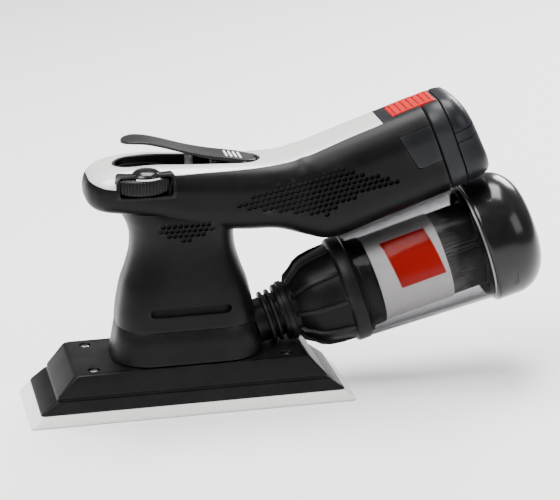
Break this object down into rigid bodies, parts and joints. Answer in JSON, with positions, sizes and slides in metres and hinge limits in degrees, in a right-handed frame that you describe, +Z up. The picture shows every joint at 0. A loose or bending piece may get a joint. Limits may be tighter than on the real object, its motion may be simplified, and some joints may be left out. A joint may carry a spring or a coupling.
{
  "type": "cordless orbital finishing sander",
  "caption": "Cordless finishing sander: long rectangular orbiting plate under a motor housing, raised handle with battery and paddle lever, dial, and a clear filter canister behind.",
  "frame": {"origin": "middle of the sanding face, on the surface being sanded", "axes": "+X from the nose with the lever's tip to the battery and canister, +Z up away from the work, the speed dial on the -Y side"},
  "size_m": [0.3213, 0.0778, 0.1804],
  "materials": {
    "pad_foam": "soft closed foam",
    "black_plastic": "fine matt grain",
    "dark_plastic": "fine matt grain",
    "gloss_black_plastic": "polished",
    "pale_plastic": "moulded",
    "silver_plastic": "satin lacquer",
    "battery_plastic": "fine matt grain",
    "red_plastic": "moulded",
    "clear_plastic": "clear polished",
    "filter_paper": "pleated paper",
    "black_rubber": "moulded",
    "steel": "bright zinc",
    "iron": "laminated",
    "cast_alloy": "die cast",
    "copper_wire": "enamelled wire",
    "contact_metal": "plated",
    "cell_wrap": "shrink sleeve",
    "circuit_board": "solder mask"
  },
  "bodies": {
    "housing": {"collar": "black_plastic", "skirt_seal": "black_rubber", "lower_bearing_bracket": "cast_alloy", "main_bearing": "steel", "support_legs": "black_rubber", "stator": "iron", "stator_windings": "copper_wire", "upper_bearing_bracket": "cast_alloy", "upper_bearing": "steel", "near_shell": "black_plastic", "far_shell": "black_plastic", "top_cover": "silver_plastic", "shell_screws": "steel", "lever_tray": "black_plastic", "lever_pin": "steel", "lever_spring": "steel", "power_switch": "dark_plastic", "dial_bezel": "gloss_black_plastic", "dial_control": "dark_plastic", "control_board": "circuit_board", "terminal_block": "black_plastic", "dust_spout": "black_plastic", "spout_rings": "black_rubber"},
    "rotor": {"motor_shaft": "steel", "rotor_core": "iron", "counterweight": "iron", "extraction_fan": "pale_plastic", "retaining_screw": "steel"},
    "plate": {"interface_pad": "pad_foam", "backing_plate": "black_plastic", "plate_cover": "black_plastic", "cover_screws": "steel", "orbit_bearing": "steel", "plate_washer": "steel"},
    "lever": {"paddle_lever": "dark_plastic"},
    "plunger": {"switch_plunger": "pale_plastic"},
    "dial": {"speed_dial": "dark_plastic"},
    "battery": {"battery_case": "battery_plastic", "battery_end_cover": "battery_plastic", "battery_cells": "cell_wrap", "battery_contacts": "contact_metal", "release_spring": "steel"},
    "release": {"battery_release": "red_plastic"},
    "canister": {"dust_adapter": "black_plastic", "mouth_seal": "black_rubber", "clear_container": "clear_plastic", "filter_pleats": "filter_paper", "filter_core": "black_plastic", "filter_end_plates": "black_plastic"},
    "cap": {"end_cap": "gloss_black_plastic", "cap_seal": "black_rubber"}
  },
  "joints": [
    {"name": "rotor_spin", "type": "hinge", "parent": "housing", "child": "rotor", "pos_m": [0, 0, 0.05], "axis": [0, 0, 1], "continuous": true},
    {"name": "plate_orbit", "type": "hinge", "parent": "rotor", "child": "plate", "pos_m": [0.0015, 0, 0.024], "axis": [0, 0, 1], "continuous": true},
    {"name": "lever_press", "type": "hinge", "parent": "housing", "child": "lever", "pos_m": [0.038, 0, 0.1472], "axis": [0, 1, 0], "range_deg": [-8.5, 0], "stiffness_Nm_per_rad": 1.2, "springref_deg": 5.73, "deforming": ["lever_spring"]},
    {"name": "switch_press", "type": "slide", "parent": "housing", "child": "plunger", "axis": [0, 0, -1], "range_m": [0, 0.0054]},
    {"name": "dial_turn", "type": "hinge", "parent": "housing", "child": "dial", "pos_m": [-0.025, -0.013, 0.143], "axis": [0, 0, 1], "range_deg": [-135, 135]},
    {"name": "battery_slide", "type": "slide", "parent": "housing", "child": "battery", "axis": [0.9483, 0, 0.3173], "range_m": [0, 0.065]},
    {"name": "release_press", "type": "slide", "parent": "battery", "child": "release", "axis": [0.3173, 0, -0.9483], "range_m": [0, 0.0022], "stiffness_N_per_m": 900, "springref_m": -0.002, "deforming": ["release_spring"]},
    {"name": "canister_slide", "type": "slide", "parent": "housing", "child": "canister", "axis": [0.9613, 0, 0.2756], "range_m": [0, 0.03]},
    {"name": "cap_twist", "type": "hinge", "parent": "canister", "child": "cap", "pos_m": [0.18293, 0, 0.08411], "axis": [0.9613, 0, 0.2756], "range_deg": [0, 30]}
  ],
  "couplings": [
    {"joint": "plate_orbit", "follows": "rotor_spin", "ratio": -1},
    {"joint": "switch_press", "follows": "lever_press", "m_per_rad": -0.03639}
  ]
}
